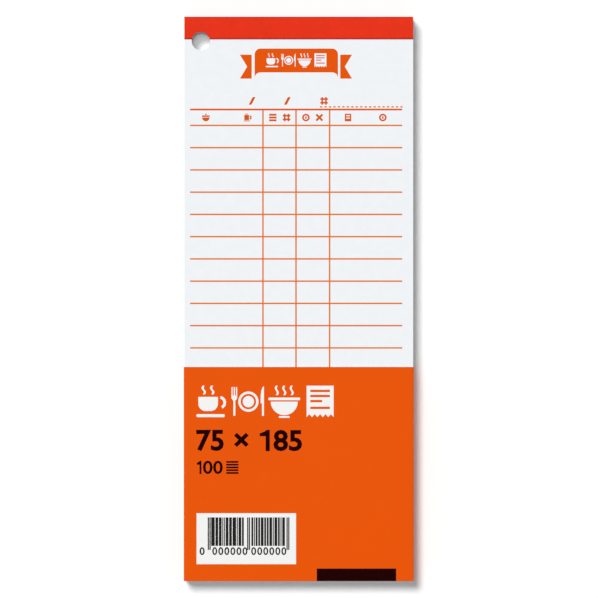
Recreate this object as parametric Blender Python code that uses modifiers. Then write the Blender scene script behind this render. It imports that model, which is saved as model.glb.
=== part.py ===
"""Guest check pad.

A hundred order sheets are glued at the head on a stiff board. A binding tape is folded over the head, a
hanging hole is punched through tape, sheets and board, and a paper belly band is wrapped round the foot.

Units are metres. The pad lies on its back: X runs across it, +Y points to its head and +Z out of the top
sheet. The origin is under the middle of the pad, on the surface that the pad rests on.
"""

import math

import bmesh
import bpy
from mathutils import Vector

MM = 0.001

# Pad
PAD_WIDTH = 75.0 * MM
PAD_HEIGHT = 185.0 * MM

# Sheets. The first ones turn over the head, the next ones lie still, and the rest hang together on the
# glue that has soaked in between their heads.
SHEET_COUNT = 100
TURNING_SHEETS = 20
SINGLE_SHEETS = 33
PAPER_THICKNESS = 0.08 * MM
AIR_GAP = 0.01 * MM
CREASE_GAP = 0.1 * MM

# Backing board and padding glue
BOARD_THICKNESS = 0.7 * MM
GLUE_THICKNESS = 0.2 * MM
GLUE_BACK_STEP = 0.1 * MM
GLUE_SOAK = 0.3 * MM
SEAT_GAP = 0.02 * MM

# Binding tape, before it is folded a strip of TAPE_WIDTH
TAPE_WIDTH = 25.0 * MM
TAPE_THICKNESS = 0.28 * MM
TAPE_FRONT_FLAP = 7.36 * MM
TAPE_FOLD_RADIUS = 0.05 * MM

# Hanging hole
HOLE_DIAMETER = 6.0 * MM
HOLE_FROM_LEFT = 5.4 * MM
HOLE_FROM_HEAD = 8.0 * MM
HOLE_SEGMENTS = 24

# Belly band
BAND_HEIGHT = 70.2 * MM
BAND_THICKNESS = 0.12 * MM
BAND_FOLD_RADIUS = 0.05 * MM
BAND_OVERLAP = 12.0 * MM
SEAM_GLUE_THICKNESS = 0.02 * MM
SEAM_GLUE_MARGIN = 2.0 * MM
BAND_STEP_LENGTH = 3.0 * MM
BAND_STEP_CLEARANCE = 1.0 * MM

FOLD_SEGMENTS = 4
CUTTER_MARGIN = 1.0 * MM

# Where each layer lies, from the surface up
SEAM_GAP = SEAM_GLUE_THICKNESS + 2 * AIR_GAP
SEAM_DEPTH = 2 * BAND_THICKNESS + SEAM_GAP
BOARD_LOW = max(TAPE_THICKNESS, SEAM_DEPTH) + SEAT_GAP
BOARD_HIGH = BOARD_LOW + BOARD_THICKNESS
SHEET_PITCH = PAPER_THICKNESS + AIR_GAP
STACK_LOW = BOARD_HIGH + AIR_GAP
STACK_HIGH = STACK_LOW + SHEET_COUNT * SHEET_PITCH - AIR_GAP
TAPE_BACK = BOARD_LOW - SEAT_GAP - TAPE_THICKNESS
TAPE_FRONT = STACK_HIGH + SEAT_GAP + TAPE_THICKNESS
BAND_FRONT = STACK_HIGH + SEAT_GAP + BAND_THICKNESS

# Where each piece ends, from foot to head. A fold clears the square corner inside it by its own radius.
FOOT_Y = -PAD_HEIGHT / 2
HEAD_Y = PAD_HEIGHT / 2
GLUE_HEAD_Y = HEAD_Y - TAPE_THICKNESS - TAPE_FOLD_RADIUS
SHEET_HEAD_Y = GLUE_HEAD_Y - GLUE_THICKNESS - SEAT_GAP
SOAK_Y = SHEET_HEAD_Y - GLUE_SOAK
CREASE_Y = HEAD_Y - TAPE_FRONT_FLAP

HOLE_X = -PAD_WIDTH / 2 + HOLE_FROM_LEFT
HOLE_Y = HEAD_Y - HOLE_FROM_HEAD

# The free sheets turn about one line, along the lower edge of the tape's front flap.
TURN_AXIS = Vector((0.0, CREASE_Y, TAPE_FRONT))

SHEET_WHITE = (0.875, 0.91, 0.94)
TAPE_RED = (0.80, 0.035, 0.012)
BAND_ORANGE = (0.82, 0.098, 0.003)
BOARD_GREY = (0.40, 0.37, 0.33)
GLUE_MILK = (0.85, 0.83, 0.76)


def clear_scene():
    """Removes every object, so that the scene holds only the pad."""
    for obj in list(bpy.data.objects):
        bpy.data.objects.remove(obj)


def new_collection(name):
    """A new collection, linked to the scene."""
    collection = bpy.data.collections.new(name)
    bpy.context.scene.collection.children.link(collection)
    return collection


def new_material(name, color, roughness):
    """A Principled material of one colour."""
    material = bpy.data.materials.new(name)
    material.use_nodes = True
    shader = material.node_tree.nodes["Principled BSDF"]
    shader.inputs["Base Color"].default_value = (*color, 1.0)
    shader.inputs["Roughness"].default_value = roughness
    shader.inputs["Metallic"].default_value = 0.0
    material.diffuse_color = (*color, 1.0)
    return material


def new_object(name, build, collection, material=None, origin=(0.0, 0.0, 0.0)):
    """An object whose mesh the bmesh build(bm) fills, in places measured from origin."""
    bm = bmesh.new()
    build(bm)
    mesh = bpy.data.meshes.new(name)
    bm.to_mesh(mesh)
    bm.free()
    obj = bpy.data.objects.new(name, mesh)
    obj.location = origin
    if material:
        mesh.materials.append(material)
    collection.objects.link(obj)
    return obj


def add_plate(name, y_range, z_range, collection, material, origin=(0.0, 0.0, 0.0), width=PAD_WIDTH):
    """A flat sheet, film or board between the given ends and heights, centred across the pad."""

    def build(bm):
        middle = Vector((0.0, sum(y_range) / 2, sum(z_range) / 2))
        size = Vector((width, y_range[1] - y_range[0], z_range[1] - z_range[0]))
        bmesh.ops.create_cube(bm, size=1.0)
        bmesh.ops.scale(bm, vec=size, verts=bm.verts)
        bmesh.ops.translate(bm, vec=middle - Vector(origin), verts=bm.verts)

    return new_object(name, build, collection, material, origin)


def extrude_edges(bm, edges, run):
    """Draws faces from these edges along the vector run."""
    extruded = bmesh.ops.extrude_edge_only(bm, edges=edges)
    far = [item for item in extruded["geom"] if isinstance(item, bmesh.types.BMVert)]
    bmesh.ops.translate(bm, vec=run, verts=far)


def rounded_path(corners, radius):
    """The corners as a path, each inner one rounded by an arc of this radius."""
    path = [corners[0]]
    for before, corner, after in zip(corners, corners[1:], corners[2:]):
        to_before = (before - corner).normalized()
        to_after = (after - corner).normalized()
        half_angle = to_before.angle(to_after) / 2
        reach = radius / math.tan(half_angle)
        centre = corner + (to_before + to_after).normalized() * radius / math.sin(half_angle)
        start = (corner + to_before * reach - centre).normalized()
        end = (corner + to_after * reach - centre).normalized()
        for step in range(FOLD_SEGMENTS + 1):
            path.append(centre + radius * start.slerp(end, step / FOLD_SEGMENTS))
    path.append(corners[-1])
    return path


def add_folded_strip(name, path, run, thickness, collection, material):
    """A strip whose middle follows the path, extruded by the vector run and given its thickness."""

    def build(bm):
        points = [bm.verts.new(point) for point in path]
        extrude_edges(bm, [bm.edges.new(pair) for pair in zip(points, points[1:])], run)

    obj = new_object(name, build, collection, material)
    wall = obj.modifiers.new("Thickness", "SOLIDIFY")
    wall.thickness = thickness
    wall.offset = 0.0
    wall.use_even_offset = True
    return obj


def add_hole_punch(collection):
    """The cutter of the hanging hole, through every layer."""
    low = TAPE_BACK - CUTTER_MARGIN
    high = TAPE_FRONT + CUTTER_MARGIN

    def build(bm):
        bmesh.ops.create_cone(
            bm,
            cap_ends=True,
            segments=HOLE_SEGMENTS,
            radius1=HOLE_DIAMETER / 2,
            radius2=HOLE_DIAMETER / 2,
            depth=high - low,
        )

    punch = new_object("hole_punch", build, collection, None, (HOLE_X, HOLE_Y, (low + high) / 2))
    punch.hide_render = True
    punch.display_type = "WIRE"
    return punch


def punch_hole(obj, punch):
    """Cuts the hanging hole in a piece."""
    cut = obj.modifiers.new("Hanging hole", "BOOLEAN")
    cut.operation = "DIFFERENCE"
    cut.solver = "EXACT"
    cut.object = punch


def sheet_heights(number):
    """The lower and upper face of a sheet, counted from 1 at the top of the pad."""
    low = STACK_LOW + (SHEET_COUNT - number) * SHEET_PITCH
    return low, low + PAPER_THICKNESS


def add_turning_sheets(collection, material):
    """The free leaves of the top sheets, each with its origin on the line that it turns about."""
    leaves = []
    for number in range(1, TURNING_SHEETS + 1):
        name = f"check_sheet_{number:02d}"
        ends = (FOOT_Y, CREASE_Y - CREASE_GAP)
        leaves.append(add_plate(name, ends, sheet_heights(number), collection, material, TURN_AXIS))
    return leaves


def add_glued_sheets(name, numbers, foot_y, collection, material):
    """Sheets that hang together where glue has soaked between their heads, and lie loose from there down."""

    def build(bm):
        levels = [height for number in reversed(numbers) for height in sheet_heights(number)]
        points = [bm.verts.new((-PAD_WIDTH / 2, SOAK_Y, level)) for level in levels]
        edges = [bm.edges.new(pair) for pair in zip(points, points[1:])]
        extrude_edges(bm, edges, Vector((0.0, GLUE_SOAK, 0.0)))
        extrude_edges(bm, edges[::2], Vector((0.0, foot_y - SOAK_Y, 0.0)))
        drawn = bmesh.ops.extrude_face_region(bm, geom=bm.faces[:])
        far = [item for item in drawn["geom"] if isinstance(item, bmesh.types.BMVert)]
        bmesh.ops.translate(bm, vec=Vector((PAD_WIDTH, 0.0, 0.0)), verts=far)
        bmesh.ops.recalc_face_normals(bm, faces=bm.faces)

    return new_object(name, build, collection, material)


def add_bound_heads(collection, material):
    """The glued heads of the turning sheets, from the lower edge of the tape up."""
    numbers = range(1, TURNING_SHEETS + 1)
    return add_glued_sheets("bound_heads", numbers, CREASE_Y, collection, material)


def add_still_sheets(collection, material):
    """The whole sheets under the turning ones, each by itself."""
    sheets = []
    first = TURNING_SHEETS + 1
    for number in range(first, first + SINGLE_SHEETS):
        name = f"check_sheet_{number:02d}"
        sheets.append(add_plate(name, (FOOT_Y, SHEET_HEAD_Y), sheet_heights(number), collection, material))
    return sheets


def add_lower_sheets(collection, material):
    """The whole sheets next to the board."""
    numbers = range(TURNING_SHEETS + SINGLE_SHEETS + 1, SHEET_COUNT + 1)
    return add_glued_sheets("lower_sheets", numbers, FOOT_Y, collection, material)


def add_backing_board(collection, material):
    """The stiff board under the sheets."""
    heights = (BOARD_LOW, BOARD_HIGH)
    return add_plate("backing_board", (FOOT_Y, SHEET_HEAD_Y), heights, collection, material)


def add_head_glue(collection, material):
    """The film of padding glue along the head of the board and the sheets."""
    ends = (GLUE_HEAD_Y - GLUE_THICKNESS, GLUE_HEAD_Y)
    heights = (BOARD_LOW + GLUE_BACK_STEP, STACK_HIGH)
    return add_plate("head_glue", ends, heights, collection, material)


def add_binding_tape(collection, material):
    """The tape, folded over the head: back flap, head and front flap."""
    back_flap = TAPE_WIDTH - TAPE_FRONT_FLAP - (TAPE_FRONT - TAPE_BACK)
    middle = TAPE_THICKNESS / 2
    left = -PAD_WIDTH / 2
    corners = [
        Vector((left, HEAD_Y - back_flap, TAPE_BACK + middle)),
        Vector((left, HEAD_Y - middle, TAPE_BACK + middle)),
        Vector((left, HEAD_Y - middle, TAPE_FRONT - middle)),
        Vector((left, CREASE_Y, TAPE_FRONT - middle)),
    ]
    path = rounded_path(corners, TAPE_FOLD_RADIUS + middle)
    run = Vector((PAD_WIDTH, 0.0, 0.0))
    return add_folded_strip("binding_tape", path, run, TAPE_THICKNESS, collection, material)


def add_belly_band(collection, material):
    """The paper band round the foot. Its ends overlap at the back, the last one outside."""
    middle = BAND_THICKNESS / 2
    side = PAD_WIDTH / 2 + BAND_FOLD_RADIUS + middle
    inner_back = BOARD_LOW - SEAT_GAP - middle
    outer_back = inner_back - BAND_THICKNESS - SEAM_GAP
    front = BAND_FRONT - middle
    step_end = BAND_OVERLAP / 2 + BAND_STEP_CLEARANCE
    corners = [
        (BAND_OVERLAP / 2, inner_back),
        (-side, inner_back),
        (-side, front),
        (side, front),
        (side, inner_back),
        (step_end + BAND_STEP_LENGTH, inner_back),
        (step_end, outer_back),
        (-BAND_OVERLAP / 2, outer_back),
    ]
    path = rounded_path([Vector((x, FOOT_Y, z)) for x, z in corners], BAND_FOLD_RADIUS + middle)
    run = Vector((0.0, BAND_HEIGHT, 0.0))
    return add_folded_strip("belly_band", path, run, BAND_THICKNESS, collection, material)


def add_seam_glue(collection, material):
    """The strip of glue between the two ends of the belly band."""
    low = BOARD_LOW - SEAT_GAP - BAND_THICKNESS - AIR_GAP - SEAM_GLUE_THICKNESS
    ends = (FOOT_Y + SEAM_GLUE_MARGIN, FOOT_Y + BAND_HEIGHT - SEAM_GLUE_MARGIN)
    heights = (low, low + SEAM_GLUE_THICKNESS)
    width = BAND_OVERLAP - 2 * SEAM_GLUE_MARGIN
    return add_plate("band_seam_glue", ends, heights, collection, material, width=width)


def build_pad():
    """Builds every piece of the pad."""
    clear_scene()
    pieces = new_collection("guest_check_pad")
    cutters = new_collection("cutters")
    paper = new_material("sheet_paper", SHEET_WHITE, 0.75)
    punch = add_hole_punch(cutters)

    board = add_backing_board(pieces, new_material("chipboard", BOARD_GREY, 0.9))
    glue = new_material("padding_glue", GLUE_MILK, 0.4)
    add_head_glue(pieces, glue)
    add_seam_glue(pieces, glue)
    punched = [board, add_lower_sheets(pieces, paper), *add_still_sheets(pieces, paper)]
    punched += [add_bound_heads(pieces, paper), *add_turning_sheets(pieces, paper)]
    punched.append(add_binding_tape(pieces, new_material("binding_tape", TAPE_RED, 0.6)))
    for obj in punched:
        punch_hole(obj, punch)
    add_belly_band(pieces, new_material("band_paper", BAND_ORANGE, 0.45))


build_pad()
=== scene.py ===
import logging
import math
import random
from dataclasses import dataclass
from enum import Enum

import bmesh
import bpy
from mathutils import Matrix, Vector


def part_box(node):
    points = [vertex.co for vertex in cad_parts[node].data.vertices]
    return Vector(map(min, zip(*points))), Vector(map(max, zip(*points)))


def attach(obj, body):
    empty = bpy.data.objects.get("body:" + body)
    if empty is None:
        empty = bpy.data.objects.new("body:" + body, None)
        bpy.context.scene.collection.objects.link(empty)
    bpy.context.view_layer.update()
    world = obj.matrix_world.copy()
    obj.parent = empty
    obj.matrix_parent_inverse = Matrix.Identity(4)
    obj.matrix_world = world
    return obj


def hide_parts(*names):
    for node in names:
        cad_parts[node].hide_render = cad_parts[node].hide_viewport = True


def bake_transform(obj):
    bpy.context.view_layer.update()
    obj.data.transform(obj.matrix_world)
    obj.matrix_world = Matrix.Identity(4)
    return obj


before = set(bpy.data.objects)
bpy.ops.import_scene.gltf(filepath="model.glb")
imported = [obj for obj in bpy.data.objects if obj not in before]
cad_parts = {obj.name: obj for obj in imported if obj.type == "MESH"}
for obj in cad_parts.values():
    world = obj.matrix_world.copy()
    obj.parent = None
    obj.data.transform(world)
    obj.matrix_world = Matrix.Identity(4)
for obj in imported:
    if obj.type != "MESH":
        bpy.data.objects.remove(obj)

LOG = logging.getLogger("check_pad")
MM = 0.001

# Points within TOUCH are one, faces within FLAT_ANGLE are one, edges past HARD_ANGLE stay sharp
TOUCH = 1e-7
FLAT_ANGLE = 0.001
HARD_ANGLE = math.radians(35.0)

# How numerals are drawn before they are fitted to their box
LETTER_SIZE = 10.0
LETTER_STEPS = 3
LETTER_TOUCH = 0.0005

Color = tuple[float, float, float]
Triple = tuple[float, float, float]
Point = tuple[float, float]
Span = tuple[float, float]
Loop = list[Point]
Mesh = bmesh.types.BMesh
Material = bpy.types.Material
Piece = bpy.types.Object
Socket = bpy.types.NodeSocket
Feed = Socket | float | Color

WHITE: Color = (1.0, 1.0, 1.0)
NOISE_SPAN: Span = (0.3, 0.7)


class Slot(Enum):
    """The record's material slots, by name. No piece in this script is given them."""

    SHEET = "sheet_paper"
    BAND = "band_paper"
    TAPE = "binding_tape"


# Node trees


class Wiring:
    """A node tree, with the few kinds of node that the finishes and the studio share."""

    def __init__(self, tree: bpy.types.NodeTree) -> None:
        """Takes up a tree and the nodes that it has."""
        self.nodes, self.links = tree.nodes, tree.links

    def feed(self, socket: Socket, value: Feed) -> None:
        """Feeds a socket.

        Args:
            socket: The socket.
            value: Another socket to link to it, or its number, vector or colour.
        """
        if isinstance(value, bpy.types.NodeSocket):
            self.links.new(value, socket)
        elif isinstance(value, tuple) and len(socket.default_value) == 4:
            socket.default_value = (*value, 1.0)
        else:
            socket.default_value = value

    def add(self, kind: str, given: dict[str | int, Feed], **settings: str) -> bpy.types.Node:
        """Adds a node.

        Args:
            kind: Its type, without the word ShaderNode.
            given: What goes into its sockets.
            settings: Its own settings.

        Returns:
            The node.
        """
        node = self.nodes.new("ShaderNode" + kind)
        for setting, value in settings.items():
            setattr(node, setting, value)
        for name, value in given.items():
            self.feed(node.inputs[name], value)
        return node

    def join(self, operation: str, first: Feed, second: Feed = 0.0) -> Socket:
        """Two numbers joined by one of the Math node's operations."""
        return self.add("Math", {0: first, 1: second}, operation=operation).outputs[0]

    def remap(self, value: Socket, start: float, end: float, low: float, high: Feed) -> Socket:
        """Maps the range from start to end onto low to high, and clamps it."""
        return self.add("MapRange", {"Value": value, "From Min": start, "From Max": end,
                                     "To Min": low, "To Max": high}).outputs[0]

    def seen(self) -> Socket:
        """Tells what is seen from what gives light.

        Returns:
            1 for the camera's rays and for mirrored and refracted ones, 0 for others.
        """
        rays = self.add("LightPath", {}).outputs
        either = self.join("MAXIMUM", rays["Is Camera Ray"], rays["Is Glossy Ray"])
        return self.join("MAXIMUM", either, rays["Is Transmission Ray"])


class Recipe(Wiring):
    """A material whose patterns lie still on the object."""

    def __init__(self, name: str) -> None:
        """Starts a material.

        Args:
            name: What the material is called.
        """
        self.material = bpy.data.materials.new(name)
        self.material.use_nodes = True
        super().__init__(self.material.node_tree)
        self.shader = self.nodes["Principled BSDF"]
        self.place = self.add("TexCoord", {}).outputs["Object"]

    def axis(self, letter: str) -> Socket:
        """One coordinate of the place on the object, in metres."""
        return self.add("SeparateXYZ", {0: self.place}).outputs[letter]

    def cells(self, size: float) -> Socket:
        """How far the nearest of many points is, as a share of the rough size between them."""
        return self.add("TexVoronoi", {"Vector": self.place, "Scale": 1.0 / size}).outputs["Distance"]

    def blend(self, share: Socket, first: Feed, second: Feed) -> Socket:
        """Blends two colours.

        Args:
            share: How much of the second there is, from 0 to 1.
            first: One colour.
            second: The other.

        Returns:
            The colour between them.
        """
        mixer = self.add("Mix", {}, data_type="RGBA")
        sockets = {socket.identifier: socket for socket in (*mixer.inputs, *mixer.outputs)}
        for name, value in (("Factor_Float", share), ("A_Color", first), ("B_Color", second)):
            self.feed(sockets[name], value)
        return sockets["Result_Color"]

    def relief(self, heights: list[tuple[Socket, float]]) -> None:
        """Gives the surface its relief.

        Args:
            heights: Patterns, each with how high it stands in metres.
        """
        below: dict[str | int, Feed] = {}
        for height, distance in heights:
            bump = self.add("Bump", {"Height": height, "Distance": distance, **below})
            below = {"Normal": bump.outputs[0]}
        self.feed(self.shader.inputs["Normal"], below["Normal"])

    def surface(self, color: Feed, roughness: Feed, gloss: float) -> None:
        """Sets the colour, the roughness and the level of plain gloss."""
        for name, value in (("Base Color", color), ("Roughness", roughness), ("Specular IOR Level", gloss)):
            self.feed(self.shader.inputs[name], value)


def shade(color: Color, factor: float) -> Color:
    """The colour made lighter or darker by a factor."""
    return tuple(min(1.0, part * factor) for part in color)


# Finishes


@dataclass(frozen=True)
class Grain:
    """Cloudy noise in a finish. Its size and height are metres, its tint is its share in the shades."""

    size: float
    detail: float
    height: float = 0.0
    tint: float = 0.0
    stretch: Triple = (1.0, 1.0, 1.0)

    def pattern(self, recipe: Recipe) -> Socket:
        """Makes the grain's pattern.

        Args:
            recipe: The material.

        Returns:
            The pattern, around 0.5.
        """
        squeeze = tuple(1.0 / length for length in self.stretch)
        spot = recipe.add("Mapping", {"Vector": recipe.place, "Scale": squeeze}).outputs[0]
        scale = 1.0 / self.size
        return recipe.add("TexNoise", {"Vector": spot, "Scale": scale, "Detail": self.detail}).outputs[0]


@dataclass(frozen=True)
class Bubbles(Grain):
    """A grain of round bubbles instead of clouds."""

    reach: float = 0.3

    def pattern(self, recipe: Recipe) -> Socket:
        """The grain's pattern, 0 in the middle of each bubble and 1 between them."""
        return recipe.remap(recipe.cells(self.size), 0.0, self.reach, 0.0, 1.0)


Grains = tuple[Grain, ...]


@dataclass(frozen=True)
class Finish:
    """A finish that its grains make uneven in colour, roughness and height."""

    name: str
    color: Color
    shades: Span
    roughness: Span
    gloss: float
    grains: Grains
    rough_grain: int = 0
    tint_span: Span = NOISE_SPAN

    def _wear_and_painted_shade(self, recipe: Recipe, patterns: list[Socket], color: Socket) -> Socket:
        """The colour with this finish's wear, flecks or painted shade on it, of which a plain one has none.
        """
        return color

    def make(self) -> Material:
        """Makes the finish.

        Returns:
            Its material.
        """
        recipe = Recipe(self.name)
        patterns = [grain.pattern(recipe) for grain in self.grains]
        pairs = list(zip(patterns, self.grains))
        shares = [recipe.remap(pattern, *self.tint_span, 0.0, grain.tint)
                  for pattern, grain in pairs if grain.tint]
        share = recipe.join("ADD", *shares) if len(shares) > 1 else shares[0]
        color = recipe.blend(share, *(shade(self.color, factor) for factor in self.shades))
        rough = recipe.remap(patterns[self.rough_grain], *NOISE_SPAN, *self.roughness)
        recipe.surface(self._wear_and_painted_shade(recipe, patterns, color), rough, self.gloss)
        recipe.relief([(pattern, grain.height) for pattern, grain in pairs if grain.height])
        return recipe.material


@dataclass(frozen=True)
class WritingPaper(Finish):
    """The face of an uncoated writing sheet: a fine tooth on faint clouds of fibre."""

    color: Color = (0.872, 0.905, 0.930)
    shades: Span = (0.988, 1.012)
    roughness: Span = (0.72, 0.88)
    gloss: float = 0.12
    grains: Grains = (Grain(0.22 * MM, 3.0, 0.008 * MM), Grain(2.6 * MM, 4.0, 0.004 * MM, 1.0))


@dataclass(frozen=True)
class CutEdges(Finish):
    """The cut edges of a stack of sheets: fine layers darkened by painted shade in the gaps between sheets,
    fibres, and broad layers of other shades.
    """

    color: Color = (0.86, 0.885, 0.90)
    # Partly painted shade: the darker end stands for shade in the gaps between sheets along the fine layers,
    # and for tone that differs at random along the broad layers
    shades: Span = (0.80, 1.0)
    roughness: Span = (0.8, 0.95)
    gloss: float = 0.08
    grains: Grains = (Grain(0.16 * MM, 1.0, 0.02 * MM, 0.6, (260.0, 260.0, 1.0)),
                      Grain(0.12 * MM, 2.0, 0.006 * MM, 0.0, (1.0, 1.0, 0.5)),
                      Grain(0.9 * MM, 2.0, 0.0, 0.4, (260.0 / 3, 260.0 / 3, 1.0)))
    rough_grain: int = 1
    tint_span: Span = (0.35, 0.65)


@dataclass(frozen=True)
class PrintInk(Finish):
    """Offset ink: an even film that is a little thinner on the high spots of the paper."""

    shades: Span = (0.95, 1.05)
    roughness: Span = (0.42, 0.58)
    gloss: float = 0.05
    grains: Grains = (Grain(0.35 * MM, 3.0, 0.002 * MM, 1.0),)


@dataclass(frozen=True)
class InnerInk:
    """The form's ink inside the pad, where only slivers of it show: an even film on toothed paper."""

    name: str
    color: Color
    tooth: Grain = Grain(0.3 * MM, 2.0, 0.002 * MM)
    roughness: float = 0.5
    gloss: float = 0.05

    def make(self) -> Material:
        """Makes the finish.

        Returns:
            Its material.
        """
        recipe = Recipe(self.name)
        recipe.surface(self.color, self.roughness, self.gloss)
        recipe.relief([(self.tooth.pattern(recipe), self.tooth.height)])
        return recipe.material


@dataclass(frozen=True)
class BindingPaper(Finish):
    """Crepe binding tape: fine ridges across its run, with painted shade along its lower edge at the crease
    and along its head fold.
    """

    color: Color = (0.785, 0.030, 0.006)
    shades: Span = (0.91, 1.09)
    roughness: Span = (0.5, 0.68)
    gloss: float = 0.06
    grains: Grains = (Grain(0.20 * MM, 3.0, 0.045 * MM, 0.55, (5.0, 1.0, 1.0)),
                      Grain(5.0 * MM, 3.0, 0.02 * MM, 0.45))
    # Painted shade: a darker red that stands for the shade at the tape's lower edge and at its head fold
    painted_edge_shade: Color = (0.48, 0.012, 0.006)
    ragged: float = 0.05 * MM
    crease: float = 0.0
    above_crease: Span = (0.22 * MM, 0.42 * MM)
    head: float = 0.0
    below_head: Span = (0.45 * MM, 0.1 * MM)
    head_shade_share: float = 0.8

    def _wear_and_painted_shade(self, recipe: Recipe, patterns: list[Socket], color: Socket) -> Socket:
        """Paints shade along the tape's lower edge and its head fold, with borders that the ridges make
        ragged.

        Args:
            recipe: The material.
            patterns: Its grains' patterns.
            color: The colour so far.

        Returns:
            The colour.
        """
        jags = recipe.remap(patterns[0], *NOISE_SPAN, -self.ragged, self.ragged)
        along = recipe.join("ADD", recipe.axis("Y"), jags)
        # Painted shade masks: along the lower edge above the crease, and along the head fold
        foot = recipe.remap(along, *(self.crease + reach for reach in self.above_crease), 1.0, 0.0)
        head = recipe.remap(along, *(self.head - reach for reach in self.below_head), 0.0, self.head_shade_share)
        return recipe.blend(recipe.join("MAXIMUM", foot, head), color, self.painted_edge_shade)


@dataclass(frozen=True)
class CoatedPaper(Finish):
    """The printed side of the belly band: smooth coated paper, its ink cracked along the folds."""

    color: Color = (0.815, 0.093, 0.0010)
    shades: Span = (0.978, 1.022)
    roughness: Span = (0.39, 0.51)
    gloss: float = 0.03
    grains: Grains = (Grain(0.5 * MM, 4.0, 0.003 * MM, 0.6), Grain(14.0 * MM, 2.0, 0.05 * MM, 0.4))
    bared: Color = (0.86, 0.42, 0.22)
    fold: float = 0.0
    fold_width: float = 0.35 * MM
    middle: float = 0.0
    fold_drop: Span = (0.6 * MM, 0.2 * MM)
    specks: Grain = Grain(0.4 * MM, 4.0, stretch=(0.5, 3.0, 0.5))
    speck_span: Span = (0.60, 0.70)
    speck_share: float = 0.7

    def _wear_and_painted_shade(self, recipe: Recipe, patterns: list[Socket], color: Socket) -> Socket:
        """Cracks the ink near the folds, which bares the paper.

        Args:
            recipe: The material.
            patterns: Its grains' patterns.
            color: The colour so far.

        Returns:
            The colour.
        """
        out = recipe.join("ABSOLUTE", recipe.axis("X"))
        high = recipe.join("ABSOLUTE", recipe.join("SUBTRACT", recipe.axis("Z"), self.middle))
        near_fold = recipe.join(
            "MULTIPLY", recipe.remap(out, self.fold - self.fold_width, self.fold, 0.0, 1.0),
            recipe.remap(high, *(self.middle - drop for drop in self.fold_drop), 0.0, 1.0))
        cracks = recipe.remap(self.specks.pattern(recipe), *self.speck_span, 0.0, self.speck_share)
        return recipe.blend(recipe.join("MULTIPLY", near_fold, cracks), color, self.bared)


@dataclass(frozen=True)
class GreyBoard(Finish):
    """Chipboard compressed from waste paper: grey felt of fibres with dark and pale flecks."""

    color: Color = (0.36, 0.335, 0.295)
    shades: Span = (0.86, 1.16)
    roughness: Span = (0.85, 0.97)
    gloss: float = 0.08
    grains: Grains = (Grain(0.9 * MM, 6.0, 0.03 * MM, 0.6, (1.0, 2.4, 1.0)),
                      Grain(0.35 * MM, 3.0, 0.012 * MM, 0.0, (3.5, 1.0, 1.0)),
                      Grain(9.0 * MM, 3.0, 0.0, 0.4))
    pale: Color = (0.56, 0.54, 0.49)
    pale_flecks: tuple[float, ...] = (0.62, 0.74, 0.0, 0.7)
    dark: Color = (0.12, 0.105, 0.09)
    dark_flecks: tuple[float, ...] = (0.05, 0.12, 0.75, 0.0)
    dark_size: float = 2.2 * MM

    def _wear_and_painted_shade(self, recipe: Recipe, patterns: list[Socket], color: Socket) -> Socket:
        """Strews flecks: pale ones where the cross fibres are high, and scattered dark ones.

        Args:
            recipe: The material.
            patterns: Its grains' patterns.
            color: The colour so far.

        Returns:
            The colour.
        """
        color = recipe.blend(recipe.remap(patterns[1], *self.pale_flecks), color, self.pale)
        scattered = recipe.remap(recipe.cells(self.dark_size), *self.dark_flecks)
        return recipe.blend(scattered, color, self.dark)


@dataclass(frozen=True)
class DriedGlue(Finish):
    """Padding glue, dried to a milky skin with runs and small bubbles."""

    color: Color = (0.84, 0.82, 0.74)
    shades: Span = (0.94, 1.05)
    roughness: Span = (0.27, 0.47)
    gloss: float = 0.4
    grains: Grains = (Grain(0.8 * MM, 3.0, 0.03 * MM, 1.0, (2.0, 1.0, 1.0)),
                      Bubbles(0.5 * MM, 0.0, 0.01 * MM))


# Shapes


def arc(centre: Point, radius: float, start: float, end: float, steps: int = 12) -> Loop:
    """Points on an arc from one angle to another, in degrees, both ends among them."""
    angles = [math.radians(start + (end - start) * step / steps) for step in range(steps + 1)]
    return [(centre[0] + radius * math.cos(angle), centre[1] + radius * math.sin(angle)) for angle in angles]


def ring(centre: Point, radius: float, steps: int = 36) -> Loop:
    """The outline of a disc."""
    return arc(centre, radius, 0.0, 360.0, steps)[:-1]


def box(low: Point, high: Point, radius: float = 0.0, steps: int = 5) -> Loop:
    """The outline of a box.

    Args:
        low: Its lower left corner.
        high: Its upper right corner.
        radius: Radius of its corners.
        steps: Steps in each round corner.

    Returns:
        The outline, anticlockwise.
    """
    if not radius:
        return [low, (high[0], low[1]), high, (low[0], high[1])]
    left, foot, right, top = low[0] + radius, low[1] + radius, high[0] - radius, high[1] - radius
    loop: Loop = []
    for turn, centre in enumerate(((right, foot), (right, top), (left, top), (left, foot))):
        loop += arc(centre, radius, 90.0 * (turn - 1), 90.0 * turn, steps)
    return loop


def steam(x: float, low: float, high: float, width: float, sway: float) -> Loop:
    """The outline of a wisp of steam.

    Args:
        x: Its middle.
        low: Its foot.
        high: Its top.
        width: How wide it is.
        sway: How far it sways to each side on its way up.

    Returns:
        The outline.
    """
    steps = 12
    middle = [(x + sway * math.sin(2 * math.pi * step / steps), low + (high - low) * step / steps)
              for step in range(steps + 1)]
    return [(mx + width / 2, my) for mx, my in middle] + [(mx - width / 2, my) for mx, my in reversed(middle)]


def four_turns(quarter: Loop) -> Loop:
    """An outline that repeats itself at each side of the unit square.

    Args:
        quarter: Its points at the lower side.

    Returns:
        The whole outline.
    """
    loop = list(quarter)
    for _ in range(3):
        quarter = [(1.0 - y, x) for x, y in quarter]
        loop += quarter
    return loop


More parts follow.
